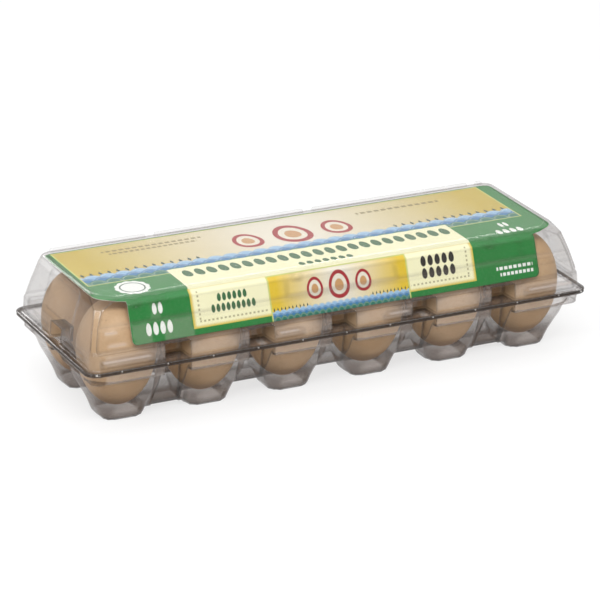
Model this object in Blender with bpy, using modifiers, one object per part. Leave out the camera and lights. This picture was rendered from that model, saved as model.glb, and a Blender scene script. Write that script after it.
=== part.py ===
"""Clear hinged carton holding twelve brown eggs, with a printed card under its lid.

The carton stands on its feet on z = 0, lengthwise along X. Its front, where the card folds down, faces
-Y, and the lid hinges along the back rim. Lengths are in metres.
"""

import math

import bmesh
import bpy

MM = 0.001

# Carton as a whole
LENGTH = 300 * MM
WIDTH = 108 * MM
RIM_HEIGHT = 35 * MM
LID_TOP = 70 * MM
WALL = 0.8 * MM
CLEARANCE = 0.3 * MM
RIM_CORNER = 6 * MM

# Rows of eggs
COLUMNS = 6
PITCH = 48.8 * MM
ROW_OFFSET = 24 * MM

# Eggs, standing on their pointed ends
EGG_LENGTH = 61 * MM
EGG_RADIUS = 22 * MM
EGG_SEAT = 4.2 * MM
EGG_TAPER = 0.03
EGG_SIDES = 16
EGG_RINGS = 10

# Upright band on each side of the rim
BAND_INSET = 3 * MM
BAND_CORNER = 5 * MM
BAND_DRAFT = 0.7 * MM
TRAY_BAND_FOOT = 27 * MM
LID_BAND_TOP = 44 * MM

# Pockets let into the band between neighbouring eggs, and between the rows at each end. They are a little
# narrower at their back than at their mouth. The tray's lean inwards and spread towards the pocket foot.
POCKET_DEPTH = 11.8 * MM
POCKET_MOUTH_HALF = 7.2 * MM
POCKET_BACK_HALF = 6.1 * MM
POCKET_FOOT = -1 * MM
POCKET_LEAN = 9.4 * MM
POCKET_SPREAD = 2.2 * MM
POCKET_TOP = 44.2 * MM
END_POCKET_DEPTH = 7.5 * MM

# Cups of the tray: half width and corner radius at the foot, and at heights above it
FOOT_HALF = 11.8 * MM
FOOT_CORNER = 7.5 * MM
CUP_HEIGHTS = (0, 2.5 * MM, 8 * MM, 15 * MM, 20 * MM, 27.4 * MM)
CUP_HALVES = (FOOT_HALF, 12.8 * MM, 14.6 * MM, 18.1 * MM, 20.7 * MM, 23.4 * MM)
CUP_CORNERS = (FOOT_CORNER, 8 * MM, 9.5 * MM, 12 * MM, 13 * MM, 13 * MM)

# Troughs that join neighbouring cups of a row, low at the ends of the carton and higher in its middle
TROUGH_BOTTOMS = (3 * MM, 8 * MM, 9 * MM, 8 * MM, 3 * MM)
TROUGH_REACH = 13 * MM
TROUGH_HALF = 8 * MM
TROUGH_TOP_HALF = 22 * MM
TROUGH_CORNER = 2 * MM

# Lid walls above the band: height, front face, back face, half length, radius of the front corners
LEDGE = (45.5 * MM, -48.6 * MM, 49.3 * MM, 146.0 * MM, 5 * MM)
BREAK = (56.6 * MM, -44.6 * MM, 46.2 * MM, 143.2 * MM, 5 * MM)
SHOULDER = (66 * MM, -41.2 * MM, 43.6 * MM, 140.2 * MM, 6 * MM)
CROWN = (LID_TOP, -38 * MM, 42 * MM, 138.6 * MM, 11 * MM)
BACK_CORNER = 5 * MM
LEDGE_DROP = 0.2 * MM
END_RECESS_DEPTH = 1.2 * MM
END_RECESS_HALF = 20 * MM
END_RECESS_SLOPE = 2 * MM

# Stacking bead along the back of the lid, broken by three gaps
BEAD_HEIGHT = 2 * MM
BEAD_WIDTH = 2.4 * MM
BEAD_HALF_LENGTH = 133 * MM
BEAD_GAPS = (-74 * MM, 22 * MM, 126 * MM)
BEAD_GAP_HALF = 2.5 * MM
BEAD_DRAFT = 0.4 * MM
BEAD_CORNER = 0.8 * MM
BEAD_SETBACK = 0.2 * MM

# Printed card
CARD = 0.5 * MM
CARD_TOP_HALF = 137 * MM
CARD_FRONT_HALF = 122 * MM
CARD_BACK = 40.6 * MM
CARD_FOLD = -36.4 * MM
CARD_CORNER = 10 * MM
CARD_BACK_CORNER = 4 * MM
CARD_HANG = CLEARANCE + 0.1 * MM
CARD_LAP = 2 * MM

# Making: facets of a corner, how far a cutter overruns what it cuts, what counts as one point, as a sliver
# and as flat, and the angle from which an edge is sharp
CORNER_STEPS = 4
OVERRUN = 2 * MM
ONE_POINT = 0.02 * MM
SLIVER = 0.01 * MM
FLAT_ANGLE = 0.5
SHARP_ANGLE = 30

GAP_XS = [(i - COLUMNS / 2) * PITCH for i in range(1, COLUMNS)]
COLUMN_XS = [(i - (COLUMNS - 1) / 2) * PITCH for i in range(COLUMNS)]
LID_RIM = RIM_HEIGHT + CLEARANCE
HINGE = (0.0, WIDTH / 2, RIM_HEIGHT + CLEARANCE / 2)


def clear_scene():
    for obj in list(bpy.data.objects):
        bpy.data.objects.remove(obj, do_unlink=True)


def make_collection(name, hidden=False):
    collection = bpy.data.collections.new(name)
    bpy.context.scene.collection.children.link(collection)
    collection.hide_render = hidden
    return collection


def make_material(name, color, roughness, alpha=1.0):
    material = bpy.data.materials.new(name)
    material.use_nodes = True
    shader = material.node_tree.nodes["Principled BSDF"]
    shader.inputs["Base Color"].default_value = (*color, 1.0)
    shader.inputs["Roughness"].default_value = roughness
    shader.inputs["Metallic"].default_value = 0.0
    shader.inputs["Alpha"].default_value = alpha
    return material


def arc(center_x, center_y, radius, start_quarter):
    """Points of a quarter circle, counter-clockwise from start_quarter right angles."""
    points = []
    for step in range(CORNER_STEPS + 1):
        angle = (start_quarter + step / CORNER_STEPS) * math.pi / 2
        points.append((center_x + radius * math.cos(angle), center_y + radius * math.sin(angle)))
    return points


def rounded(center_x, front, back, half_x, radius, back_radius=None):
    """Rounded rectangle, counter-clockwise from the start of its front left corner.

    The back corners take the front ones' radius unless they are given their own.
    """
    back_radius = back_radius or radius
    left = center_x - half_x
    right = center_x + half_x
    return (
        arc(left + radius, front + radius, radius, 2)
        + arc(right - radius, front + radius, radius, 3)
        + arc(right - back_radius, back - back_radius, back_radius, 0)
        + arc(left + back_radius, back - back_radius, back_radius, 1)
    )


def recessed(front, back, half_x, radius, back_radius, recess=0.0):
    """Rounded rectangle with a shallow recess in each end.

    The point count never depends on the depth, so sections of one wall can be joined point by point.
    """
    corners = rounded(0.0, front, back, half_x, radius, back_radius)
    quarter = CORNER_STEPS + 1
    floor = END_RECESS_HALF - END_RECESS_SLOPE
    ends = [(-END_RECESS_HALF, 0.0), (-floor, recess), (floor, recess), (END_RECESS_HALF, 0.0)]
    points = corners[: 2 * quarter]
    points += [(half_x - depth, dy) for dy, depth in ends]
    points += corners[2 * quarter :]
    points += [(-half_x + depth, -dy) for dy, depth in ends]
    return points


def section(outline, height):
    return [(x, y, height) for x, y in outline]


def add_object(name, verts, faces, collection, material):
    mesh = bpy.data.meshes.new(name)
    mesh.from_pydata(verts, [], faces)
    mesh.validate()
    body = bmesh.new()
    body.from_mesh(mesh)
    bmesh.ops.recalc_face_normals(body, faces=body.faces)
    body.to_mesh(mesh)
    body.free()
    obj = bpy.data.objects.new(name, mesh)
    collection.objects.link(obj)
    if material:
        mesh.materials.append(material)
    return obj


def loft(name, sections, collection, material=None):
    """Closed body through sections of equal point count, capped at both ends."""
    count = len(sections[0])
    verts = [point for ring in sections for point in ring]
    faces = []
    for i in range(len(sections) - 1):
        base = i * count
        above = base + count
        for j in range(count):
            k = (j + 1) % count
            faces.append((base + j, base + k, above + k, above + j))
    faces.append(tuple(reversed(range(count))))
    faces.append(tuple(range(len(verts) - count, len(verts))))
    return add_object(name, verts, faces, collection, material)


def combine(target, others, operation, solver="EXACT"):
    """Apply one Boolean of a collection of bodies to the target, then drop the bodies."""
    group = bpy.data.collections.new(target.name + "_tools")
    bpy.context.scene.collection.children.link(group)
    for other in others:
        for owner in list(other.users_collection):
            owner.objects.unlink(other)
        group.objects.link(other)
    modifier = target.modifiers.new("combine", "BOOLEAN")
    modifier.operation = operation
    modifier.operand_type = "COLLECTION"
    modifier.collection = group
    modifier.solver = solver
    bpy.context.view_layer.objects.active = target
    bpy.ops.object.modifier_apply(modifier=modifier.name)
    for other in others:
        bpy.data.objects.remove(other, do_unlink=True)
    bpy.data.collections.remove(group)


def tidy(obj):
    """Weld the doubles a Boolean leaves, drop slivers and shade it smooth."""
    body = bmesh.new()
    body.from_mesh(obj.data)
    bmesh.ops.remove_doubles(body, verts=body.verts, dist=ONE_POINT)
    bmesh.ops.dissolve_degenerate(body, edges=body.edges, dist=SLIVER)
    flat = math.radians(FLAT_ANGLE)
    bmesh.ops.dissolve_limit(body, angle_limit=flat, verts=body.verts, edges=body.edges)
    bmesh.ops.triangulate(body, faces=[face for face in body.faces if len(face.verts) > 4])
    bmesh.ops.recalc_face_normals(body, faces=body.faces)
    body.to_mesh(obj.data)
    body.free()
    obj.data.shade_smooth()
    obj.data.set_sharp_from_angle(angle=math.radians(SHARP_ANGLE))


def rest_on(obj, place):
    """Move the object's origin to a place without moving its surface."""
    for vert in obj.data.vertices:
        vert.co.x -= place[0]
        vert.co.y -= place[1]
        vert.co.z -= place[2]
    obj.location = place


def band_section(height, inset):
    """Outline of the upright band beside the rim, as deep as inset from the flange's edge."""
    half_y = WIDTH / 2 - inset
    outline = recessed(-half_y, half_y, LENGTH / 2 - inset, BAND_CORNER, BAND_CORNER)
    return section(outline, height)


def flange_section(height):
    outline = recessed(-WIDTH / 2, WIDTH / 2, LENGTH / 2, RIM_CORNER, RIM_CORNER)
    return section(outline, height)


def pocket_section(place, inwards, depth, spread, height):
    """Outline of one pocket at a height: from outside the rim to its back, which is narrower.

    The pocket sits at a place along its side, inwards is its unit direction across the rim, and spread is
    added to its half widths.
    """
    reach = BAND_INSET + depth
    mouth = POCKET_MOUTH_HALF + spread
    back = POCKET_BACK_HALF + spread
    across = (inwards[1], -inwards[0])
    corners = [(-mouth, -OVERRUN), (-mouth, BAND_INSET), (-back, reach), (back, reach)]
    corners += [(mouth, BAND_INSET), (mouth, -OVERRUN)]
    outline = []
    for side, far in corners:
        x = place[0] + across[0] * side + inwards[0] * far
        y = place[1] + across[1] * side + inwards[1] * far
        outline.append((x, y))
    return section(outline, height)


def pockets(levels, inset, collection, kind):
    """All pockets as closed bodies through levels, which give a height, a lean inwards and a spread there.

    The inset makes them larger by a wall's thickness.
    """
    places = []
    for side in (-1, 1):
        places += [((gap, side * WIDTH / 2), (0, -side), POCKET_DEPTH) for gap in GAP_XS]
        places.append(((side * LENGTH / 2, 0.0), (-side, 0), END_POCKET_DEPTH))
    bodies = []
    for number, (place, inwards, depth) in enumerate(places):
        sections = []
        for height, lean, spread in levels:
            reach = depth + lean + inset
            sections.append(pocket_section(place, inwards, reach, spread + inset, height))
        bodies.append(loft(f"{kind}_pocket_{number}", sections, collection))
    return bodies


def cup_sections(column_x, row_y, inset):
    """Rounded squares up one cup. The inset makes its inside, a wall thickness smaller and higher."""
    sections = []
    for height, half, corner in zip(CUP_HEIGHTS, CUP_HALVES, CUP_CORNERS):
        half -= inset
        outline = rounded(column_x, row_y - half, row_y + half, half, corner - inset)
        sections.append(section(outline, height + inset))
    return sections


def trough_sections(gap_x, row_y, bottom, inset):
    low = TROUGH_HALF - inset
    high = TROUGH_TOP_HALF - inset
    floor = rounded(gap_x, row_y - low, row_y + low, TROUGH_REACH, TROUGH_CORNER)
    mouth = rounded(gap_x, row_y - high, row_y + high, TROUGH_REACH, TROUGH_CORNER)
    return [section(floor, bottom + inset), section(mouth, CUP_HEIGHTS[-1] + inset)]


def hollows(inset, collection, kind):
    """All cups and troughs as closed bodies, outer ones for no inset and inner ones for a wall's."""
    bodies = []
    for row, row_y in enumerate((-ROW_OFFSET, ROW_OFFSET)):
        for column, column_x in enumerate(COLUMN_XS):
            name = f"{kind}_cup_{row}_{column}"
            bodies.append(loft(name, cup_sections(column_x, row_y, inset), collection))
        for gap, (gap_x, bottom) in enumerate(zip(GAP_XS, TROUGH_BOTTOMS)):
            name = f"{kind}_trough_{row}_{gap}"
            bodies.append(loft(name, trough_sections(gap_x, row_y, bottom, inset), collection))
    return bodies


def build_tray(collection, cutters, material):
    """Body filled up to its outside, less a body filled up to its inside."""
    under = RIM_HEIGHT - WALL
    foot_inset = BAND_INSET + BAND_DRAFT
    outside = [
        band_section(TRAY_BAND_FOOT, foot_inset),
        band_section(under, BAND_INSET),
        flange_section(under),
        flange_section(RIM_HEIGHT),
    ]
    tray = loft("tray", outside, collection, material)
    combine(tray, hollows(0.0, cutters, "outer"), "UNION")
    above = RIM_HEIGHT + OVERRUN
    levels = [(POCKET_FOOT, POCKET_LEAN, POCKET_SPREAD), (under, 0.0, 0.0), (above, 0.0, 0.0)]
    combine(tray, pockets(levels[:2], 0.0, cutters, "outer"), "DIFFERENCE")
    inside = [
        band_section(TRAY_BAND_FOOT + WALL, foot_inset + WALL),
        band_section(above, BAND_INSET + WALL),
    ]
    filling = loft("filling", inside, cutters)
    combine(filling, hollows(WALL, cutters, "inner"), "UNION")
    combine(filling, pockets(levels, WALL, cutters, "inner"), "DIFFERENCE")
    combine(tray, [filling], "DIFFERENCE")
    tidy(tray)
    return tray


def wall_section(level, inset, drop):
    """One of the lid's named wall levels, moved inward by inset and down by drop."""
    height, front, back, half_x, radius = level
    recess = END_RECESS_DEPTH if level in (BREAK, SHOULDER) else 0.0
    outline = recessed(
        front + inset, back - inset, half_x - inset, radius - inset, BACK_CORNER - inset, recess
    )
    return section(outline, height - drop)


def build_lid(collection, cutters, material):
    """Body filled up to its outside, less a body filled up to its inside."""
    over = LID_RIM + WALL
    top_inset = BAND_INSET + BAND_DRAFT
    outside = [
        flange_section(LID_RIM),
        flange_section(over),
        band_section(over, BAND_INSET),
        band_section(LID_BAND_TOP, top_inset),
        wall_section(LEDGE, 0.0, 0.0),
        wall_section(BREAK, 0.0, 0.0),
        wall_section(SHOULDER, 0.0, 0.0),
        wall_section(CROWN, 0.0, 0.0),
    ]
    inside = [
        band_section(LID_RIM - OVERRUN, BAND_INSET + WALL),
        band_section(over, BAND_INSET + WALL),
        band_section(LID_BAND_TOP, top_inset + WALL),
        wall_section(LEDGE, WALL, LEDGE_DROP),
        wall_section(BREAK, WALL, 0.0),
        wall_section(SHOULDER, WALL, 0.0),
        wall_section(CROWN, WALL, WALL),
    ]
    lid = loft("lid", outside, collection, material)
    outer_levels = [(over, 0.0, 0.0), (POCKET_TOP, 0.0, 0.0)]
    combine(lid, pockets(outer_levels, 0.0, cutters, "outer"), "DIFFERENCE")
    inner_levels = [(LID_RIM - 2 * OVERRUN, 0.0, 0.0), (POCKET_TOP + WALL, 0.0, 0.0)]
    filling = loft("filling", inside, cutters)
    combine(filling, pockets(inner_levels, WALL, cutters, "inner"), "DIFFERENCE")
    combine(lid, [filling], "DIFFERENCE")
    return lid


def add_beads(lid, cutters):
    """Join the stacking bead's lengths to the back of the lid's top."""
    back = CROWN[2] - BEAD_SETBACK
    starts = [-BEAD_HALF_LENGTH] + [gap + BEAD_GAP_HALF for gap in BEAD_GAPS]
    stops = [gap - BEAD_GAP_HALF for gap in BEAD_GAPS] + [BEAD_HALF_LENGTH]
    beads = []
    for number, (start, stop) in enumerate(zip(starts, stops)):
        middle = (start + stop) / 2
        half = (stop - start) / 2
        front = back - BEAD_WIDTH
        bottom = rounded(middle, front, back, half, BEAD_CORNER)
        top_corner = BEAD_CORNER - BEAD_DRAFT
        top = rounded(middle, front + BEAD_DRAFT, back - BEAD_DRAFT, half - BEAD_DRAFT, top_corner)
        sections = [section(bottom, LID_TOP - WALL / 2), section(top, LID_TOP + BEAD_HEIGHT)]
        beads.append(loft(f"bead_{number}", sections, cutters))
    combine(lid, beads, "UNION", "MANIFOLD")
    tidy(lid)


def build_card(collection, cutters, material):
    """Top panel just under the lid, joined to the panel that folds down inside its front wall."""
    top = LID_TOP - WALL - CARD_HANG
    outline = rounded(0.0, CARD_FOLD, CARD_BACK, CARD_TOP_HALF, CARD_CORNER, CARD_BACK_CORNER)
    card = loft("card", [section(outline, top - CARD), section(outline, top)], collection, material)
    face = []
    for height, front, *_ in (SHOULDER, BREAK, LEDGE):
        face.append((front + WALL + CARD_HANG, height))
    outer = [(CARD_FOLD + CARD_LAP, top), (CARD_FOLD, top)] + face
    inner = [(CARD_FOLD + CARD_LAP, top - CARD), (CARD_FOLD + CARD, top - CARD)]
    inner += [(y + CARD, height) for y, height in face]
    profile = outer + list(reversed(inner))
    half = CARD_FRONT_HALF
    sides = [[(x, y, z) for y, z in profile] for x in (-half, half)]
    panel = loft("card_front", sides, cutters)
    combine(card, [panel], "UNION", "MANIFOLD")
    tidy(card)
    return card


def egg_radius(share):
    """Radius at a share of the height from the pointed end: a circle's width, slanted to the blunt end."""
    cosine = 1 - 2 * share
    sine = math.sqrt(max(0.0, 1 - cosine * cosine))
    return EGG_RADIUS * sine * (1 - EGG_TAPER * cosine) / (1 + EGG_TAPER * EGG_TAPER / 2)


def build_egg(name, column_x, row_y, collection, material):
    """Half an egg's outline in the XZ plane, turned about Z."""
    verts = []
    for ring in range(EGG_RINGS + 1):
        share = (1 - math.cos(math.pi * ring / EGG_RINGS)) / 2
        verts.append((egg_radius(share), 0.0, share * EGG_LENGTH))
    mesh = bpy.data.meshes.new(name)
    mesh.from_pydata(verts, [(ring, ring + 1) for ring in range(EGG_RINGS)], [])
    mesh.materials.append(material)
    egg = bpy.data.objects.new(name, mesh)
    collection.objects.link(egg)
    turn = egg.modifiers.new("turn", "SCREW")
    turn.axis = "Z"
    turn.angle = 2 * math.pi
    turn.steps = EGG_SIDES
    turn.render_steps = EGG_SIDES
    turn.use_merge_vertices = True
    turn.merge_threshold = SLIVER
    turn.use_normal_calculate = True
    turn.use_smooth_shade = True
    egg.location = (column_x, row_y, EGG_SEAT)
    return egg


def main():
    clear_scene()
    carton = make_collection("egg_carton")
    cutters = make_collection("cutters", hidden=True)
    plastic = make_material("clear_plastic", (0.62, 0.58, 0.56), 0.12, alpha=0.35)
    print_face = make_material("printed_card", (0.14, 0.36, 0.17), 0.45)
    shell = make_material("brown_eggshell", (0.52, 0.33, 0.20), 0.55)

    build_tray(carton, cutters, plastic)
    hinge = bpy.data.objects.new("lid_hinge", None)
    hinge.location = HINGE
    carton.objects.link(hinge)
    lid = build_lid(carton, cutters, plastic)
    add_beads(lid, cutters)
    card = build_card(carton, cutters, print_face)
    for moving in (lid, card):
        rest_on(moving, HINGE)
        moving.parent = hinge
        moving.location = (0.0, 0.0, 0.0)
    number = 1
    for row_y in (-ROW_OFFSET, ROW_OFFSET):
        for column_x in COLUMN_XS:
            build_egg(f"egg_{number:02d}", column_x, row_y, carton, shell)
            number += 1
    for cutter in cutters.objects:
        cutter.display_type = "WIRE"


main()
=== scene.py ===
"""Looks of a clear hinged carton of twelve brown eggs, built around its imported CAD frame.

Shapes are worked out in millimetres as numpy arrays and written to the meshes in metres. X runs along
the carton, -Y is the front, where the printed card folds down, and Z is up.
"""

import math

import bpy
import numpy as np
from mathutils import Matrix, Vector


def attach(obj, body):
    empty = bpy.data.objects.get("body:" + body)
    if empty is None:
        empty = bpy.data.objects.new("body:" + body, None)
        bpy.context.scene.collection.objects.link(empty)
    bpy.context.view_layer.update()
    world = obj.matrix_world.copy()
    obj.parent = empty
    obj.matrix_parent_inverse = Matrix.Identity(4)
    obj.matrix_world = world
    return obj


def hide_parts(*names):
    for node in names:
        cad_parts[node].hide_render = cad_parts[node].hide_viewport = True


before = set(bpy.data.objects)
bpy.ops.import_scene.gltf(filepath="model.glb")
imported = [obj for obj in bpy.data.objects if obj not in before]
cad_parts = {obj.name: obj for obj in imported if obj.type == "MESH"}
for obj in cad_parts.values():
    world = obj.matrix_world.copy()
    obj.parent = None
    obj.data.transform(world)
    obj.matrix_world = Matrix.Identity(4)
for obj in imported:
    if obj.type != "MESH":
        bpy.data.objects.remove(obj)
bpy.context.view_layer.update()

MM = 0.001

# Carton as a whole
HALF_LENGTH = 150.0
HALF_WIDTH = 54.0
PITCH = 48.8
ROW_Y = 24.0
GAP_XS = PITCH * np.arange(-2, 3)
COLUMN_XS = PITCH * (np.arange(6) - 2.5)
SHEET = 0.4

# Grid of both shells: half of its straight part each way, its cells along and across, the rows down the
# lid's walls, and the finer lines where a pocket's side wall stands, measured from the pocket's middle
STRAIGHT_X = 141.4
STRAIGHT_Y = 45.4
CELL = 1.7
TRAY_CELL_Y = 1.25
LID_CELL_Y = 1.9
LID_ROW_SPACING = 1.35
FINE_FROM = 6.0
FINE_TO = 9.6
FINE_COUNT = 11
CORNER_CELLS = 5

# Tray: cups by half width and height, troughs between them, and the level they hang from
CUP_HALVES = (11.8, 12.8, 14.6, 18.1, 20.7, 23.4, 30.0)
CUP_HEIGHTS = (0.0, 2.5, 8.0, 15.0, 20.0, 27.4, 46.0)
CUP_SQUARENESS = 3.5
FOOT_FILLET = 0.8
PLATEAU = 27.2
TROUGH_BOTTOMS = (3.0, 8.0, 9.0, 8.0, 3.0)
TROUGH_HALF = 8.0
TROUGH_TOP_HALF = 22.0
TROUGH_REACH = 13.0
BLEND = 1.5

# Pockets between neighbouring eggs and between the rows at each end, measured in from the band. The
# tray's pockets lean inwards and spread over their run from the shelf down.
BAND_INSET = 3.0
POCKET_DEPTH = 11.8
POCKET_MOUTH = 7.2
POCKET_BACK = 6.1
END_POCKET_DEPTH = 7.5
POCKET_LEAN = 9.4
POCKET_SPREAD = 2.2
POCKET_RUN = 35.2
SHELF = 34.6

# How dense the plastic is at the rim: the inset where it starts to thicken on each shell, and the stretch
# it does so over. The shelf over each pocket is clearer than the walls, on the same scale.
TRAY_RIM = 2.6
LID_RIM = 2.8
RIM_RAMP = 1.4
SHELF_RIM = -0.2

# The tray's grid stops this far inside its rim. Its rings go on from there, up the band, out along the
# flange and down over its lip, each with its inset from the rim and its height.
TRAY_GRID_INSET = 4.0
TRAY_CORNER = 7.0
TRAY_RINGS = (
    (3.9, 27.35),
    (3.78, 27.6),
    (3.7, 28.0),
    (3.66, 28.4),
    (3.505, 29.675),
    (3.35, 30.95),
    (3.195, 32.225),
    (3.04, 33.5),
    (3.01, 33.9),
    (2.95, 34.25),
    (2.75, 34.5),
    (2.4, 34.6),
    (1.2, 34.6),
    (0.8, 34.6),
    (0.52, 34.45),
    (0.42, 34.1),
    (0.4, 33.7),
)

# Raised ribs on the lid's band: middle and half length, each with its mirror image
FRONT_RIBS = ((127.4, 14.6), (33.0, 6.8))
END_RIBS = ((25.0, 13.8),)
RIB_Z = 38.8
RIB_HALF_HEIGHT = 1.7
RIB_RISE = 1.1

# Shallow recess in each end of the lid
RECESS_Y = 1.5
RECESS_HALF = 20.0
RECESS_EDGE = 2.0
RECESS_DEPTH = 1.2

# How much darker and denser the lid's end walls are drawn below a height, on the scale of the rim
END_DARKENING = 0.16
END_DARKENING_TOP = 66.0

# Upright line at the lid's front corners, a painted dark reflection at the left corner and a painted
# highlight
# at the right one: its middle, half height and soft edge, how dark it is at the left and how light at the
# right
CORNER_LINE = (55.6, 10.4, 1.0)
LEFT_CORNER_DARK_LINE = 0.6
RIGHT_CORNER_HIGHLIGHT = 4.0

# Stacking bead on the lid's top, near its back edge
BEAD_Y = 40.6
BEAD_HALF_WIDTH = 1.2
BEAD_FOOT = 69.9
BEAD_TOP = 72.0
BEAD_ENDS = ((-133.0, -76.5), (-71.5, 19.5), (24.5, 123.5), (128.5, 133.0))
BEAD_AROUND = 16
BEAD_RINGS = 40
BEAD_NOSE = 0.97
BEAD_ROUNDING = 0.7

# Studs along the flange's edge, as balls cut flat just short of their poles
STUD_XS = (-145.2, *(26.2 * np.arange(-5, 6)), 145.2)
STUD_Y = 53.3
STUD_Z = 34.95
STUD_RADIUS = 0.52
STUD_AROUND = 10
STUD_RINGS = 7
STUD_POLE = 0.46 * math.pi

# Card: width of each panel, back edge, fold and the face down the front
CARD_HALF = 137.0
CARD_LOBE_HALF = 127.4
CARD_FRONT_HALF = 122.0
CARD_BACK = 40.6
CARD_FOLD = -36.4
CARD_TOP = 68.8
CARD_BACK_CORNER = 4.0
CARD_FRONT_CORNER = 3.2
CARD_FACE = ((-40.0, 66.0), (-43.4, 56.6), (-47.4, 45.5))
CARD_THICKNESS = 0.35
CARD_FOLD_RADIUS = 1.2
CARD_FOLD_ANGLE = 50.0

# Where, along the print, the card's lobes start to draw in and over what run, where its bottom corners
# start, and the stretch below the fold over which it narrows to its front's width
CARD_LOBE_START = -27.2
CARD_LOBE_RUN = 9.4
CARD_LOW_START = -59.6
CARD_NARROW_FROM = CARD_FOLD - 0.9
CARD_NARROW_TO = CARD_FOLD - 1.7

# Card's grid: points along its top, round its fold and down each part of its face, and across it
CARD_TOP_POINTS = 62
CARD_FOLD_POINTS = 6
CARD_FACE_POINTS = (4, 10, 14)
CARD_ACROSS_POINTS = 161

# The print's map over the card: its length and depth, and how far its front edge is from the middle
PRINT_LENGTH = 300.0
PRINT_DEPTH = 150.0
PRINT_FRONT = 90.0

# Eggs. They lean about a point a little below their middle, and their sizes and leans lie between limits.
EGG_LENGTH = 61.0
EGG_RADIUS = 22.0
EGG_SEAT = 4.2
EGG_TAPER = 0.05
EGG_AROUND = 56
EGG_RINGS = 36
EGG_OUT_OF_ROUND = 0.005
EGG_PIVOT = 0.45 * EGG_LENGTH
EGG_SIZES = (0.975, 0.995)
EGG_LEANS = (0.3, 1.5)
EGG_SEED = 12


def smoothstep(low, high, value):
    """0 below low, 1 above high, and a smooth cubic between them."""
    share = np.clip((value - low) / (high - low), 0, 1)
    return share * share * (3 - 2 * share)


def soft_min(one, other, blend):
    """The lower of two heights, with a parabola in place of the crease where they are within blend."""
    near = np.maximum(blend - np.abs(one - other), 0) / blend
    return np.minimum(one, other) - near * near * blend / 4


def plateau_of(value, centre, half, edge):
    """1 around the centre and 0 beyond half of it either way, with a smooth fall as wide as edge."""
    return 1 - smoothstep(half - edge, half, np.abs(value - centre))


def patch(along, z, place):
    """Strength of a patch on a wall, times a plateau along the wall and one up it."""
    middle, half, edge, height, half_height, soft, strength = place
    return strength * plateau_of(along, middle, half, edge) * plateau_of(z, height, half_height, soft)


def from_nearest(x, places):
    """Distance to the nearest of some places, and which of them it is."""
    away = x[..., None] - places
    nearest = np.abs(away).argmin(-1)
    return np.take_along_axis(away, nearest[..., None], -1)[..., 0], nearest


# Sheets that close over a rounded rectangle


def grid_places(half, cell, pockets):
    """Grid lines along one side, about a cell apart, and closer where the pockets' side walls stand."""
    fine = np.linspace(FINE_FROM, FINE_TO, FINE_COUNT)
    fine = np.concatenate([middle + side * fine for middle in pockets for side in (-1, 1)])
    coarse = np.linspace(-half, half, round(2 * half / cell) + 1)
    clear = np.abs(coarse[:, None] - fine).min(-1) > 0.5 * cell
    return np.sort(np.concatenate([coarse[clear], fine])) / half


def side_nodes(places):
    """Grid lines of one side with its corners, as their place on the straight part, from -1 to 1, and
    their turn into the corner, from -1 to 1."""
    bend = np.arange(1, CORNER_CELLS + 1) / CORNER_CELLS
    place = np.concatenate([-np.ones(CORNER_CELLS), places, np.ones(CORNER_CELLS)])
    turn = np.concatenate([-bend[::-1], np.zeros(len(places)), bend])
    return place, turn


def rounded(place_x, turn_x, place_y, turn_y, half_x, front, back, radius, cut=0.0):
    """Points of a rounded rectangle. In a corner the square of the two turns is bent into a quarter disc,
    by shortening each turn by sqrt(1 - other ** 2 / 2), or into a straight cut, by 1 - other / 2."""
    round_x = np.sqrt(1 - turn_y**2 / 2) * (1 - cut) + (1 - np.abs(turn_y) / 2) * cut
    round_y = np.sqrt(1 - turn_x**2 / 2) * (1 - cut) + (1 - np.abs(turn_x) / 2) * cut
    x = place_x * (half_x - radius) + radius * turn_x * round_x
    y = (front + back) / 2 + place_y * ((back - front) / 2 - radius) + radius * turn_y * round_y
    return x, y


class Sheet:
    """A grid over a rounded rectangle, and rings carried outwards from its edge, as one sheet."""

    def __init__(self, cell_y):
        place_x, turn_x = side_nodes(grid_places(STRAIGHT_X, CELL, GAP_XS))
        place_y, turn_y = side_nodes(grid_places(STRAIGHT_Y, cell_y, [0.0]))
        shape = (len(place_y), len(place_x))
        across = [np.broadcast_to(part, shape) for part in (place_x, turn_x)]
        along = [np.broadcast_to(part[:, None], shape) for part in (place_y, turn_y)]
        self.nodes = across + along
        self.index = np.arange(shape[0] * shape[1]).reshape(shape)
        index = self.index
        self.edge = np.concatenate([index[0, :-1], index[:-1, -1], index[-1, :0:-1], index[:0:-1, 0]])
        self.edge_nodes = [part.ravel()[self.edge][None, :] for part in self.nodes]
        _, turn_x, _, turn_y = self.edge_nodes
        self.long_side = (np.abs(turn_y) > 0.999) & (np.abs(turn_x) < 0.001)
        self.short_side = (np.abs(turn_x) > 0.999) & (np.abs(turn_y) < 0.001)

    def faces(self, ring_count):
        """Quads of the grid and of the rings, all counter-clockwise from above."""
        index = self.index
        grid = np.stack([index[:-1, :-1], index[:-1, 1:], index[1:, 1:], index[1:, :-1]], -1).reshape(-1, 4)
        size = len(self.edge)
        first = index.size + np.arange(ring_count * size).reshape(ring_count, size)
        loops = np.vstack([self.edge[None, :], first])
        after = np.roll(loops, -1, axis=1)
        rings = np.stack([loops[:-1], loops[1:], after[1:], after[:-1]], -1).reshape(-1, 4)
        return np.vstack([grid, rings])


def stack_points(*parts):
    """One list of points from several x, y, z triples of arrays."""
    return np.vstack([np.stack(np.broadcast_arrays(*part), -1).reshape(-1, 3) for part in parts])


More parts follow.
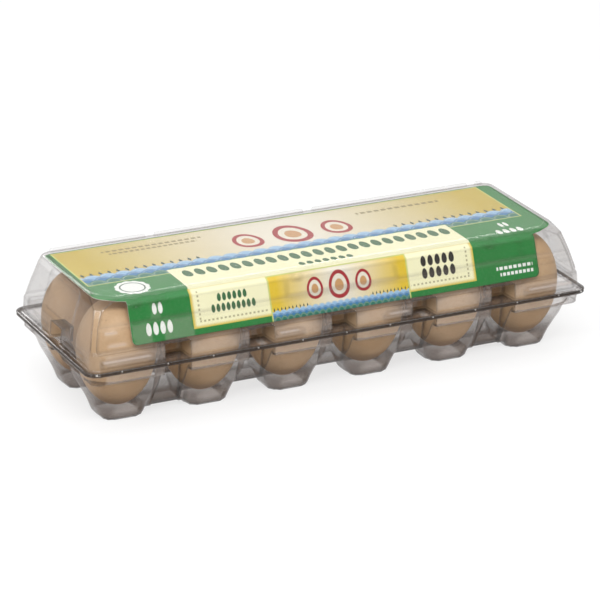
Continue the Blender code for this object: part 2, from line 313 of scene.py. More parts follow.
def bend_of(points, faces):
    """How sharply a sheet bends at each point: the sine of half the angle between its faces, from how far
    their mean unit normal falls short of a length of one."""
    corner = points[faces]
    normal = np.cross(corner[:, 2] - corner[:, 0], corner[:, 3] - corner[:, 1])
    normal /= np.linalg.norm(normal, axis=1, keepdims=True) + 1e-9
    total = np.zeros_like(points)
    count = np.zeros(len(points))
    for number in range(4):
        np.add.at(total, faces[:, number], normal)
        np.add.at(count, faces[:, number], 1)
    length = np.linalg.norm(total, axis=1) / count
    return np.sqrt(np.clip(1 - length**2, 0, 1))


def add_mesh(name, points, faces, body, replaced=()):
    """Write points, in millimetres, and faces to a new piece that rides on a CAD body."""
    mesh = bpy.data.meshes.new(name)
    mesh.from_pydata((points * MM).tolist(), [], faces if isinstance(faces, list) else faces.tolist())
    mesh.shade_smooth()
    piece = bpy.data.objects.new(name, mesh)
    bpy.context.scene.collection.objects.link(piece)
    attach(piece, body)
    if replaced:
        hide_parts(*replaced)
    return piece


def give_wall(piece, thickness):
    """Thicken a sheet inwards, away from the way its faces point."""
    wall = piece.modifiers.new("wall", "SOLIDIFY")
    wall.thickness = thickness * MM
    wall.offset = -1
    wall.use_even_offset = False
    wall.use_quality_normals = False
    return wall


def add_attribute(piece, name, values):
    attribute = piece.data.attributes.new(name, "FLOAT", "POINT")
    attribute.data.foreach_set("value", values.astype(np.float32).ravel())


def add_uv(piece, across, along):
    """UV map from one pair of values for each vertex."""
    layer = piece.data.uv_layers.new(name="print")
    corner = np.zeros(len(piece.data.loops), np.int32)
    piece.data.loops.foreach_get("vertex_index", corner)
    layer.data.foreach_set("uv", np.stack([across[corner], along[corner]], -1).astype(np.float32).ravel())


# Tray


def cup_height(x, y):
    """Height of the nearest cup's outer face. The reach from the cup's middle is a superellipse's, which
    climbs from the foot's half width through the cup's named half widths and heights."""
    dx, _ = from_nearest(x, COLUMN_XS)
    dy = np.abs(y) - ROW_Y
    reach = (np.abs(dx) ** CUP_SQUARENESS + np.abs(dy) ** CUP_SQUARENESS) ** (1 / CUP_SQUARENESS)
    height = np.interp(reach, CUP_HALVES, CUP_HEIGHTS)
    return np.sqrt(height**2 + FOOT_FILLET**2) - FOOT_FILLET


def trough_height(x, y):
    """Height of the trough at the nearest gap: flat along its middle, sloping up to the plateau beside
    it, and rising out of the way past its ends."""
    dx, nearest = from_nearest(x, GAP_XS)
    bottom = np.array(TROUGH_BOTTOMS)[nearest]
    side = np.maximum(np.abs(np.abs(y) - ROW_Y) - TROUGH_HALF, 0)
    slope = (CUP_HEIGHTS[-2] - bottom) / (TROUGH_TOP_HALF - TROUGH_HALF)
    past = np.maximum(np.abs(dx) - TROUGH_REACH, 0)
    return bottom + slope * side + 0.5 * past**2


def notch_height(across, depth, way_in):
    """Height of the shelf over one pocket: level inside the pocket's outline, and falling away past its
    sides and its back as those walls spread and lean. It ends at the band, as the flange goes on there."""
    half = POCKET_MOUTH - (POCKET_MOUTH - POCKET_BACK) * np.clip((way_in - BAND_INSET) / depth, 0, 1)
    beside = (np.abs(across) - half) / POCKET_SPREAD
    behind = (way_in - BAND_INSET - depth) / POCKET_LEAN
    height = SHELF - POCKET_RUN * np.maximum(np.maximum(beside, behind), 0)
    return np.where(way_in < BAND_INSET - 0.03, 0, height)


def tray_height(x, y, height):
    """A height of the tray's outer face, lifted to the shelf where a pocket takes its place."""
    dx, _ = from_nearest(x, GAP_XS)
    front = notch_height(dx, POCKET_DEPTH, HALF_WIDTH - np.abs(y))
    end = notch_height(y, END_POCKET_DEPTH, HALF_LENGTH - np.abs(x))
    return np.maximum(np.maximum(front, end), height)


# Patches of painted highlight on the tray: middle, half and soft edge along the wall, the same up it, and
# strength. The panel on a foot starts this far out from the middle of its row.
FOOT_PANEL = (0.0, 8.0, 1.0, 6.0, 3.2, 1.0, 0.45)
FOOT_PANEL_OUT = 10.5
BAND_HIGHLIGHT = (0.0, 17.2, 0.4, 30.6, 4.2, 0.5, 1.0)


def foot_panel_highlights(x, y, z):
    """Painted highlight that lightens a panel on the outward face of each foot."""
    column_x, _ = from_nearest(x, COLUMN_XS)
    return patch(column_x, z, FOOT_PANEL) * (np.abs(y) - ROW_Y > FOOT_PANEL_OUT)


def build_tray():
    """Grid over the cups, at the lower of cup, trough and plateau, then the rings from its edge outwards.
    Both are lifted to the shelf where a pocket is."""
    sheet = Sheet(TRAY_CELL_Y)
    half_x = HALF_LENGTH - TRAY_GRID_INSET
    half_y = HALF_WIDTH - TRAY_GRID_INSET
    x, y = rounded(*sheet.nodes, half_x, -half_y, half_y, half_x - STRAIGHT_X)
    hollow = soft_min(cup_height(x, y), trough_height(x, y), BLEND)
    under = np.maximum(soft_min(hollow, np.full_like(hollow, PLATEAU), BLEND), 0)
    grid = (x, y, tray_height(x, y, under))
    insets, heights = np.split(np.array(TRAY_RINGS), 2, axis=1)
    reach_x = HALF_LENGTH - insets
    reach_y = HALF_WIDTH - insets
    radius = np.minimum(reach_x - STRAIGHT_X, TRAY_CORNER)
    x, y = rounded(*sheet.edge_nodes, reach_x, -reach_y, reach_y, radius)
    z = tray_height(x, y, np.broadcast_to(heights, x.shape))
    points = stack_points(grid, (x, y, z))
    faces = sheet.faces(len(insets))[:, ::-1]
    tray = add_mesh("tray_shell", points, faces, "base", ["tray"])
    band_x, _ = from_nearest(x, COLUMN_XS)
    # Painted highlight on the band beside each column of eggs
    painted_highlight = patch(band_x, z, BAND_HIGHLIGHT) * sheet.long_side
    rim_and_painted_dark = np.broadcast_to((TRAY_RIM - insets) / RIM_RAMP, x.shape)
    shelf_rim = SHELF_RIM * (grid[2] > SHELF - 1)
    add_attribute(tray, "bend", bend_of(points, faces))
    add_attribute(tray, "rim_and_painted_dark", np.concatenate([shelf_rim.ravel(), np.clip(rim_and_painted_dark, 0, 1).ravel()]))
    add_attribute(tray, "painted_highlight", np.concatenate([foot_panel_highlights(*grid).ravel(), painted_highlight.ravel()]))
    give_wall(tray, SHEET)
    return tray


# Lid

# Lid levels: height, front, back, half length, radius of the front corners, how straight they are cut, and
# the share of the end recess
LEVELS = (
    (70.0, -36.9, 41.9, 137.6, 11.5, 1.0, 0.0),
    (69.75, -37.8, 42.2, 138.2, 11.0, 1.0, 0.0),
    (69.1, -38.7, 42.6, 138.8, 10.2, 1.0, 0.0),
    (66.3, -41.0, 43.5, 140.1, 4.4, 1.0, 0.9),
    (65.7, -41.35, 43.7, 140.3, 3.6, 1.0, 1.0),
    (62.0, -42.6, 44.7, 141.4, 2.8, 1.0, 1.0),
    (57.0, -44.4, 46.1, 143.0, 2.6, 1.0, 1.0),
    (56.2, -44.8, 46.4, 143.3, 2.6, 1.0, 1.0),
    (48.2, -47.7, 48.6, 145.3, 2.6, 1.0, 1.0),
    (46.6, -48.25, 49.05, 145.7, 2.8, 1.0, 0.3),
    (45.6, -48.6, 49.3, 145.95, 3.4, 0.6, 0.0),
    (45.1, -49.0, 49.6, 146.05, 4.4, 0.2, 0.0),
    (44.5, -50.0, 50.1, 146.2, 4.8, 0.0, 0.0),
    (44.2, -50.3, 50.3, 146.3, 4.9, 0.0, 0.0),
    (43.9, -50.32, 50.32, 146.3, 4.9, 0.0, 0.0),
    (36.5, -50.97, 50.97, 146.97, 5.57, 0.0, 0.0),
    (36.2, -51.05, 51.05, 147.05, 5.65, 0.0, 0.0),
    (35.85, -51.35, 51.35, 147.35, 5.8, 0.0, 0.0),
    (35.75, -52.0, 52.0, 148.0, 6.2, 0.0, 0.0),
    (35.75, -53.4, 53.4, 149.4, 6.8, 0.0, 0.0),
    (35.65, -53.85, 53.85, 149.85, 7.0, 0.0, 0.0),
    (35.35, -54.0, 54.0, 150.0, 7.0, 0.0, 0.0),
)
BAND_TOP_LEVEL = 44.5
BAND_FOOT_LEVEL = 35.9
BACK_RADIUS = 5.0

# Relief and painted highlights on the lid's front wall, as patches like the tray's, with the height of the
# relief or the strength of the highlight at the end
LUG_XS = (-117.8, -105.2, -24.1, 93.3)
ALL_ALONG = (0.0, 200.0, 1.0)
SLOPE_BREAK = 56.6
FRONT_RELIEF = (
    (1.75, 33.45, 1.3, 62.2, 5.6, 1.0, 0.45),
    (151.0, 40.0, 1.3, 60.0, 8.0, 1.0, 0.3),
    (*ALL_ALONG, SLOPE_BREAK, 0.9, 0.6, -0.25),
    *((lug_x, 2.8, 1.2, 67.2, 2.4, 0.8, 0.5) for lug_x in LUG_XS),
)
LID_HIGHLIGHT = (0.0, 17.0, 0.4, 40.4, 3.7, 0.4, 1.0)
FRONT_HIGHLIGHTS = (
    (-116.5, 5.6, 0.5, 50.6, 4.9, 0.5, 0.8),
    (-95.5, 8.5, 0.5, 50.6, 4.9, 0.5, 0.8),
    (-107.2, 2.8, 0.5, 61.0, 4.5, 1.5, 0.6),
    (-134.0, 4.2, 2.0, 54.0, 1.4, 1.2, 4.0),
    (-131.0, 6.2, 2.5, 47.5, 1.2, 1.0, 3.0),
    (*ALL_ALONG, SLOPE_BREAK, 0.55, 0.5, 1.5),
)
MIRRORED_HIGHLIGHTS = (
    (PITCH, 2.0, 0.8, 40.0, 4.4, 0.4, 3.0),
    *((middle, half, 2.0, RIB_Z + 1.3, 0.75, 0.6, 6.0) for middle, half in FRONT_RIBS),
)


def fine_levels(spacing):
    """The named levels with more rows between those that are further apart than the spacing."""
    levels = np.array(LEVELS)
    travel = np.hypot(np.diff(levels[:, 0]), np.diff(levels[:, 1]))
    rows = [levels[:1]]
    for start, stop, length in zip(levels[:-1], levels[1:], travel):
        count = max(1, math.ceil(length / spacing))
        share = (np.arange(1, count + 1) / count)[:, None]
        rows.append(start + (stop - start) * share)
    return np.vstack(rows)


def lid_outline(nodes, level):
    """Rounded rectangle of a lid level, whose corners change from the front's cut to the back's round."""
    height, front, back, half, radius, cut = level
    to_back = (1 + nodes[2]) / 2
    round_back = np.where(height > BAND_TOP_LEVEL, BACK_RADIUS, radius)
    return rounded(
        *nodes, half, front, back, radius + (round_back - radius) * to_back, cut * (1 - to_back)
    )


def ribs_on(along, z, ribs):
    """Long rounded ribs: a stadium's distance, raised as a half round."""
    rise = np.zeros_like(z)
    for middle, half in ribs:
        past = np.maximum(np.abs(np.abs(along) - middle) - half, 0) / 1.3
        away = np.hypot(past, (z - RIB_Z) / RIB_HALF_HEIGHT)
        rise = np.maximum(rise, RIB_RISE * np.sqrt(np.clip(1 - away**2, 0, 1)))
    return rise


def pocket_share(away):
    """1 between a pocket's back corners, 0 outside its mouth, and straight between them."""
    return np.clip((POCKET_MOUTH - np.abs(away)) / (POCKET_MOUTH - POCKET_BACK), 0, 1)


def front_relief(x, z):
    """How far the front wall stands out, as a sum of patches: the middle panel, the step near the right
    end, the groove where the two slopes meet and the lugs under the fold."""
    return sum(patch(x, z, place) for place in FRONT_RELIEF)


def front_highlights(x, z):
    """Painted highlights over the front, as the strongest of a patch by each column of eggs, the light
    patches and streaks, the line where the slopes meet, and the lines that repeat at the left and the right."""
    column_x, _ = from_nearest(x, COLUMN_XS)
    painted_highlight = [patch(column_x, z, LID_HIGHLIGHT)]
    painted_highlight += [patch(x, z, place) for place in FRONT_HIGHLIGHTS]
    painted_highlight += [patch(np.abs(x), z, place) for place in MIRRORED_HIGHLIGHTS]
    return np.maximum.reduce(painted_highlight)


def corner_lines(sheet):
    """1 on the first cell of each turn at the front corners and 0 elsewhere."""
    _, turn_x, _, turn_y = sheet.edge_nodes
    first = 1 / CORNER_CELLS
    from_front = (np.abs(turn_y + 1) < 0.01) & (np.abs(np.abs(turn_x) - first) < 0.01)
    from_end = (np.abs(np.abs(turn_x) - 1) < 0.01) & (np.abs(turn_y + first) < 0.01)
    return (from_front | from_end).astype(float)


def build_lid():
    """Grid over the flat top, then rings down the walls and the band to the flange. Pockets and the recess
    in each end go inwards from those rings, and ribs and the front's relief outwards."""
    sheet = Sheet(LID_CELL_Y)
    top = LEVELS[0]
    x, y = lid_outline(sheet.nodes, top[:6])
    grid = (x, y, np.full_like(x, top[0]))
    rows = fine_levels(LID_ROW_SPACING)[1:]
    level = [rows[:, i : i + 1] for i in range(7)]
    x, y = lid_outline(sheet.edge_nodes, level[:6])
    z = np.broadcast_to(level[0], x.shape)
    in_band = (z < BAND_TOP_LEVEL - 0.1) & (z > BAND_FOOT_LEVEL)
    gap_x, _ = from_nearest(x, GAP_XS)
    front_in = POCKET_DEPTH * pocket_share(gap_x) - ribs_on(x, z, FRONT_RIBS)
    end_in = END_POCKET_DEPTH * pocket_share(y) - ribs_on(y, z, END_RIBS)
    sunk = RECESS_DEPTH * level[6] * plateau_of(y, RECESS_Y, RECESS_HALF, RECESS_EDGE)
    is_front = (y < 0) & sheet.long_side
    # Painted highlights over the front wall
    painted_highlight = front_highlights(x, z) * is_front
    relief = front_relief(x, z) * is_front * (z > BAND_TOP_LEVEL)
    y = y - np.sign(y) * front_in * in_band * sheet.long_side - relief
    x = x - np.sign(x) * (end_in * in_band + sunk) * sheet.short_side
    points = stack_points(grid, (x, y, z))
    faces = sheet.faces(len(rows))
    lid = add_mesh("lid_shell", points, faces, "lid", ["lid"])
    inset = HALF_WIDTH + level[1]
    rim_and_painted_dark = np.broadcast_to(np.clip((LID_RIM - inset) / RIM_RAMP, 0, 1), x.shape)
    # The corner lines are painted: a dark reflection at the left corner, laid into the rim's darkening, and a
    # highlight at the right
    corner = corner_lines(sheet) * plateau_of(z, *CORNER_LINE)
    rim_and_painted_dark = np.maximum(rim_and_painted_dark, corner * LEFT_CORNER_DARK_LINE * (x < 0))
    painted_highlight = np.maximum(painted_highlight, corner * RIGHT_CORNER_HIGHLIGHT * (x > 0))
    rim_and_painted_dark = np.maximum(rim_and_painted_dark, END_DARKENING * sheet.short_side * (z < END_DARKENING_TOP))
    zero = np.zeros(len(points) - x.size)
    add_attribute(lid, "bend", bend_of(points, faces))
    add_attribute(lid, "rim_and_painted_dark", np.concatenate([zero, rim_and_painted_dark.ravel()]))
    add_attribute(lid, "painted_highlight", np.concatenate([zero, painted_highlight.ravel()]))
    give_wall(lid, SHEET)
    return lid


def tube_faces(rings, around):
    """Quads of a tube whose rings run one way round, with a flat face closing each end."""
    ring = np.arange(rings * around).reshape(rings, around)
    after = np.roll(ring, -1, axis=1)
    sides = np.stack([ring[:-1], after[:-1], after[1:], ring[1:]], -1).reshape(-1, 4)
    return sides.tolist() + [ring[0, ::-1].tolist(), ring[-1].tolist()]


def shifted(faces, amount):
    return [[corner + amount for corner in face] for face in faces]


def build_bead():
    """Stacking bead: a flat-footed half round carried along X, drawn in to a round nose at both ends."""
    angle = np.arange(BEAD_AROUND) * 2 * np.pi / BEAD_AROUND
    lift = np.clip(np.sin(angle), 0, 1) ** BEAD_ROUNDING
    points, faces = [], []
    for start, stop in BEAD_ENDS:
        middle = (start + stop) / 2
        half = (stop - start) / 2
        way = np.sin(np.linspace(-1, 1, BEAD_RINGS) * np.pi / 2) * half
        nose = np.clip((np.abs(way) - half + BEAD_HALF_WIDTH) / BEAD_HALF_WIDTH, 0, BEAD_NOSE)
        size = np.sqrt(1 - nose**2)[:, None]
        across = BEAD_Y + BEAD_HALF_WIDTH * np.cos(angle) * size
        height = BEAD_FOOT + (BEAD_TOP - BEAD_FOOT) * lift * size
        faces += shifted(tube_faces(BEAD_RINGS, BEAD_AROUND), sum(len(part) for part in points))
        points.append(stack_points(((middle + way)[:, None], across, height)))
    return add_mesh("stacking_bead", np.vstack(points), faces, "lid")


def build_nubs():
    """Small studs along the flange's edge. A ring of a stud is as wide as the radius times the cosine of
    its level, and as high as the radius times the sine."""
    angle = np.arange(STUD_AROUND) * 2 * np.pi / STUD_AROUND
    level = np.linspace(-STUD_POLE, STUD_POLE, STUD_RINGS)[:, None]
    wide = STUD_RADIUS * np.cos(level)
    ball = stack_points((wide * np.cos(angle), wide * np.sin(angle), STUD_RADIUS * np.sin(level)))
    places = [(x, y, STUD_Z) for y in (-STUD_Y, STUD_Y) for x in STUD_XS]
    faces = []
    for number in range(len(places)):
        faces += shifted(tube_faces(STUD_RINGS, STUD_AROUND), number * len(ball))
    points = np.vstack([ball + np.array(place) for place in places])
    return add_mesh("rim_nubs", points, faces, "base")


# Card


def card_profile():
    """Line down the middle of the card's printed face, as distance, y and height: flat under the top,
    round the fold on a small arc, then down the front wall's three levels."""
    fold_start = CARD_FOLD + CARD_FOLD_RADIUS
    y = list(np.linspace(CARD_BACK, fold_start, CARD_TOP_POINTS))
    z = [CARD_TOP] * len(y)
    for angle in np.radians(np.linspace(0, CARD_FOLD_ANGLE, CARD_FOLD_POINTS)[1:]):
        y.append(fold_start - CARD_FOLD_RADIUS * math.sin(angle))
        z.append(CARD_TOP - CARD_FOLD_RADIUS * (1 - math.cos(angle)))
    for (y1, z1), count in zip(CARD_FACE, CARD_FACE_POINTS):
        start_y, start_z = y[-1], z[-1]
        for share in np.arange(1, count + 1) / count:
            y.append(start_y + (y1 - start_y) * share)
            z.append(start_z + (z1 - start_z) * share)
    y, z = np.array(y), np.array(z)
    way = np.concatenate([[0], np.cumsum(np.hypot(np.diff(y), np.diff(z)))])
    return way, y, z


def card_half_width(along):
    """Half width at a distance along the print: full on top with rounded back corners, drawn in round the
    lobes to the fold, and narrower down the front to rounded bottom corners."""
    back = np.clip((along - (CARD_BACK - CARD_BACK_CORNER)) / CARD_BACK_CORNER, 0, 1)
    top = CARD_HALF - CARD_BACK_CORNER * (1 - np.sqrt(1 - back**2))
    lobe = np.clip((CARD_LOBE_START - along) / CARD_LOBE_RUN, 0, 1)
    top = top - (CARD_HALF - CARD_LOBE_HALF) * (1 - np.sqrt(1 - lobe**2))
    low = np.clip((CARD_LOW_START - along) / CARD_FRONT_CORNER, 0, 1)
    front = CARD_FRONT_HALF - CARD_FRONT_CORNER * (1 - np.sqrt(1 - low**2))
    down = smoothstep(CARD_NARROW_FROM, CARD_NARROW_TO, along)
    return top + (front - top) * down


def build_card():
    """Sheet carried along the card's profile, as wide at each place as the card is there."""
    way, y, z = card_profile()
    along = CARD_BACK - way
    across = np.linspace(-1, 1, CARD_ACROSS_POINTS)
    x = card_half_width(along)[:, None] * across[None, :]
    index = np.arange(x.size).reshape(x.shape)
    faces = np.stack([index[:-1, :-1], index[1:, :-1], index[1:, 1:], index[:-1, 1:]], -1).reshape(-1, 4)
    points = stack_points((x, y[:, None], z[:, None]))
    card = add_mesh("card_print", points, faces, "lid", ["card"])
    flat_along = np.broadcast_to(along[:, None], x.shape).ravel()
    add_uv(card, x.ravel() / PRINT_LENGTH + 0.5, (flat_along + PRINT_FRONT) / PRINT_DEPTH)
    wall = give_wall(card, CARD_THICKNESS)
    wall.material_offset = 1
    wall.material_offset_rim = 1
    return card


# Eggs


def egg_outline(share):
    """Radius at a share of the height from the pointed end: a circle's width, slanted to the blunt end."""
    cosine = 1 - 2 * share
    sine = np.sqrt(np.clip(1 - cosine**2, 0, 1))
    return EGG_RADIUS * sine * (1 - EGG_TAPER * cosine) / (1 + EGG_TAPER**2 / 2)


def build_egg(number, place_x, place_y, size, lean, lean_way):
    """The outline turned about the egg's axis, a little out of round, then leaned about its pivot."""
    level = (1 - np.cos(np.pi * np.arange(1, EGG_RINGS) / EGG_RINGS)) / 2
    angle = np.arange(EGG_AROUND) * 2 * np.pi / EGG_AROUND
    radius = egg_outline(level)[:, None] * (1 - EGG_OUT_OF_ROUND * np.cos(2 * angle + number))
    points = stack_points((radius * np.cos(angle), radius * np.sin(angle), level[:, None] * EGG_LENGTH))
    points = np.vstack([points, [[0, 0, 0], [0, 0, EGG_LENGTH]]])
    middle = np.array([0, 0, EGG_PIVOT])
    turn_x = math.radians(lean) * math.cos(lean_way)
    turn_y = math.radians(lean) * math.sin(lean_way)
    about_x = [[1, 0, 0], [0, math.cos(turn_x), -math.sin(turn_x)], [0, math.sin(turn_x), math.cos(turn_x)]]
    about_y = [[math.cos(turn_y), 0, math.sin(turn_y)], [0, 1, 0], [-math.sin(turn_y), 0, math.cos(turn_y)]]
    points = (points - middle) @ (np.array(about_x) @ np.array(about_y)).T * size + middle
    points = points + np.array([place_x, place_y, EGG_SEAT])
    ring = np.arange((EGG_RINGS - 1) * EGG_AROUND).reshape(EGG_RINGS - 1, EGG_AROUND)
    after = np.roll(ring, -1, axis=1)
    sides = np.stack([ring[:-1], after[:-1], after[1:], ring[1:]], -1).reshape(-1, 4)
    low = np.stack([after[0], ring[0], np.full(EGG_AROUND, ring.size)], -1)
    high = np.stack([ring[-1], after[-1], np.full(EGG_AROUND, ring.size + 1)], -1)
    faces = sides.tolist() + low.tolist() + high.tolist()
    return add_mesh(f"eggshell_{number:02d}", points, faces, "base", [f"egg_{number:02d}"])


def build_eggs():
    """Twelve eggs, front row first, each a little different in size and lean."""
    chance = np.random.default_rng(EGG_SEED)
    eggs = []
    for place_y in (-ROW_Y, ROW_Y):
        for place_x in COLUMN_XS:
            size = chance.uniform(*EGG_SIZES)
            lean = chance.uniform(*EGG_LEANS)
            lean_way = chance.uniform(0, 2 * math.pi)
            eggs.append(build_egg(len(eggs) + 1, place_x, place_y, size, lean, lean_way))
    return eggs


# Material maths


def ink(red, green, blue):
    """Linear colour from the 0 to 255 values that a picture of the surface shows."""
    shares = [value / 255 for value in (red, green, blue)]
    linear = [s / 12.92 if s <= 0.04045 else ((s + 0.055) / 1.055) ** 2.4 for s in shares]
    return (*linear, 1.0)


def put(socket, value):
    """Set a socket to a plain value, or link it to a worked-out one."""
    if isinstance(value, Worked):
        socket.node.id_data.links.new(value.socket, socket)
    else:
        socket.default_value = value


class Worked:
    """An output socket that takes part in sums: each operator adds one Math node."""

    def __init__(self, socket):
        self.socket = socket

    def math(self, operation, *others, clamp=False, first=None):
        node = self.socket.node.id_data.nodes.new("ShaderNodeMath")
        node.operation = operation
        node.use_clamp = clamp
        values = (self, *others) if first is None else (first, self)
        for socket, value in zip(node.inputs, values):
            put(socket, value)
        return Worked(node.outputs[0])

    def __add__(self, other):
        return self.math("ADD", other)

    def __sub__(self, other):
        return self.math("SUBTRACT", other)

    def __rsub__(self, other):
        return self.math("SUBTRACT", first=other)

    def __mul__(self, other):
        return self.math("MULTIPLY", other)

    def __truediv__(self, other):
        return self.math("DIVIDE", other)

    def __pow__(self, other):
        return self.math("POWER", other)

    def __abs__(self):
        return self.math("ABSOLUTE")

    def above(self, edge, soft):
        """0 below the edge and 1 above it, over a soft ramp."""
        return self.math("MULTIPLY_ADD", 1 / soft, 0.5 - edge / soft, clamp=True)

    def below(self, edge, soft):
        return self.math("MULTIPLY_ADD", -1 / soft, 0.5 + edge / soft, clamp=True)

    def within(self, low, high, soft):
        """1 between two edges."""
        return abs(self - (low + high) / 2).below((high - low) / 2, soft)

    def wrapped(self, pitch):
        """Distance to the nearest whole number of pitches."""
        return self.math("WRAP", pitch / 2, -pitch / 2)

    __radd__ = __add__
    __rmul__ = __mul__


class Nodes:
    """A node tree under construction."""

    def __init__(self, tree):
        self.tree = tree

    def node(self, kind, settings=None, sockets=None, output=0):
        """Add a node: its settings first, then the values or links of its sockets."""
        node = self.tree.nodes.new(kind)
        for name, value in (settings or {}).items():
            setattr(node, name, value)
        for name, value in (sockets or {}).items():
            put(node.inputs[name], value)
        return Worked(node.outputs[output])

    def parts(self, vector):
        """X, Y and Z of a vector."""
        split = self.node("ShaderNodeSeparateXYZ", None, {"Vector": vector}).socket.node
        return [Worked(socket) for socket in split.outputs]

    def mix(self, share, below, over):
        """Colour between two others."""
        return self.node("ShaderNodeMix", {"data_type": "RGBA"}, {0: share, 6: below, 7: over}, 2)


class Finish(Nodes):
    """A material under construction: its nodes and its Principled shader."""

    def __init__(self, name, **constants):
        self.material = bpy.data.materials.new(name)
        self.material.use_nodes = True
        super().__init__(self.material.node_tree)
        self.shader = self.tree.nodes["Principled BSDF"]
        for socket, value in constants.items():
            self.shader.inputs[socket.replace("_", " ")].default_value = value

    def place(self):
        """Object coordinates as one vector."""
        return self.node("ShaderNodeTexCoord", output="Object")

    def painted(self, name):
        """A value stored at each point of the mesh."""
        return self.node("ShaderNodeAttribute", {"attribute_name": name}, None, "Fac")

    def noise(self, vector, scale, detail=2.0, roughness=0.5):
        sockets = {"Vector": vector, "Scale": scale, "Detail": detail, "Roughness": roughness}
        return self.node("ShaderNodeTexNoise", None, sockets, "Fac")

    def spots(self, vector, scale, randomness=1.0):
        """Distance to the nearest of scattered points."""
        sockets = {"Vector": vector, "Scale": scale, "Randomness": randomness}
        return self.node("ShaderNodeTexVoronoi", None, sockets, "Distance")

    def bump(self, height, strength, distance):
        sockets = {"Height": height, "Strength": strength, "Distance": distance}
        return self.node("ShaderNodeBump", None, sockets, "Normal")

    def finish(self, **links):
        for socket, value in links.items():
            put(self.shader.inputs[socket.replace("_", " ")], value)
        return self.material


# Clear plastic


def clear_plastic(name, smoke, haze, edge_on, crease_shade, gloss):
    """Thin smoky sheet: nearly clear face on, denser edge on and at the flange, with painted shade along its
    bends and low in the feet, painted highlights on set patches, and the slow waves that forming leaves in
    it."""
    look = Finish(name, IOR=gloss, Specular_IOR_Level=0.6)
    place = look.place()
    facing = look.node("ShaderNodeLayerWeight", None, {"Blend": 0.5}, "Facing")
    rim_and_painted_dark = look.painted("rim_and_painted_dark")
    painted_highlight = look.painted("painted_highlight")
    bend = look.painted("bend").above(0.21, 0.36)
    cloud = look.noise(place, 55.0, 3.0)
    waves = look.noise(place, 38.0, 1.0)
    pull = look.noise(place, 160.0, 2.0)
    _, _, height = look.parts(place)
    # Painted shade: the sheet is drawn denser low down in the feet, where they stand by the floor
    low = height.below(0.011, 0.008)
    alpha = facing**2.5 * edge_on + haze + cloud * 0.03 + low * 0.27
    # Painted shade along the bends; the rim term is the flange's density with the painted corner lines and
    # darker end walls laid into it
    alpha = alpha + rim_and_painted_dark * 0.45 + bend * crease_shade + painted_highlight * 0.06
    grey = look.mix(cloud, *smoke)
    # Painted highlights: the set patches are mixed towards a pale grey
    grey = look.mix(painted_highlight, grey, ink(204, 192, 184))
    # Bends, as painted shade, and the dense flange darken towards a deep brown
    grey = look.mix(bend.math("MAXIMUM", rim_and_painted_dark), grey, ink(58, 46, 38))
    relief = waves * 0.7 + pull * 0.3
    return look.finish(
        Base_Color=grey,
        Alpha=alpha.math("MINIMUM", 0.95),
        Roughness=look.noise(place, 300.0, 2.0) * 0.07 + 0.05,
        Normal=look.bump(relief, 0.2, 0.0012),
    )


def nub_plastic():
    """The same plastic where it is drawn into small studs, with a near-white painted highlight for the light
    they catch.
    """
    look = Finish("stud_plastic", Roughness=0.15, IOR=2.0)
    speck = look.noise(look.place(), 900.0, 2.0)
    # Painted highlight: a near-white tone stands in for each stud's glint
    tone = look.mix(speck, ink(225, 220, 215), ink(250, 248, 245))
    return look.finish(Base_Color=tone, Alpha=speck * 0.2 + 0.75)


# Eggshell


def eggshell():
    """Brown shell: each egg has its own tone, paler clouds, fine dark specks and pores, and painted shade low
    down.
    """
    look = Finish("brown_shell", Roughness=0.5, Specular_IOR_Level=0.35)
    place = look.place()
    cell = look.node(
        "ShaderNodeVectorMath",
        {"operation": "SNAP"},
        {0: place, 1: (PITCH * MM, PITCH * MM, 1.0)},
    )
    tone = look.node("ShaderNodeTexWhiteNoise", None, {"Vector": cell}, "Value")
    cloud = look.noise(place, 60.0, 3.0)
    fine = look.noise(place, 700.0, 3.0, 0.6)
    shell = look.mix(tone, ink(197, 161, 119), ink(208, 174, 136))
    shell = look.mix(cloud.above(0.52, 0.3) * 0.35, shell, ink(220, 192, 158))
    shell = look.mix(fine.above(0.6, 0.2) * 0.3, shell, ink(178, 136, 93))
    specks = look.spots(place, 420.0).below(0.16, 0.08) * look.noise(place, 90.0, 1.0).above(0.55, 0.1)
    shell = look.mix(specks * 0.5, shell, ink(134, 94, 60))
    _, _, height = look.parts(place)
    # Painted shade: the lowest part of each egg, where it sits in its cup, is darkened towards brown
    shell = look.mix(height.below(0.009, 0.009) * 0.65, shell, ink(150, 108, 66))
    pores = look.spots(place, 1500.0).above(0.35, 0.5)
    relief = pores * 0.6 + look.noise(place, 260.0, 2.0) * 0.4
    return look.finish(
        Base_Color=shell,
        Roughness=fine * 0.2 + 0.42,
        Normal=look.bump(relief, 0.22, 0.0002),
    )


# Print on the card

GREEN = ink(4, 124, 48)
DEEP_GREEN = ink(2, 96, 36)
CREAM = ink(250, 247, 200)
GOLD = ink(230, 197, 46)
DULL_GOLD = ink(202, 178, 66)
PALE_SKY = ink(238, 232, 214)
FAR_BLUE = ink(150, 192, 226)
NEAR_BLUE = ink(58, 128, 178)
SEA_GREEN = ink(34, 120, 96)
LEAF = ink(30, 68, 66)
RED = ink(168, 30, 40)
SHELL = ink(206, 158, 104)
FOREST_GREEN = ink(44, 104, 60)
BLACK = ink(30, 32, 28)
WHITE = ink(246, 250, 244)
OLIVE = ink(112, 100, 44)


def down_front(height):
    """Place along the print of a height on the card's front face."""
    way, _, z = card_profile()
    past_fold = z < CARD_TOP - 0.01
    return float(np.interp(-height, -z[past_fold], CARD_BACK - way[past_fold]))


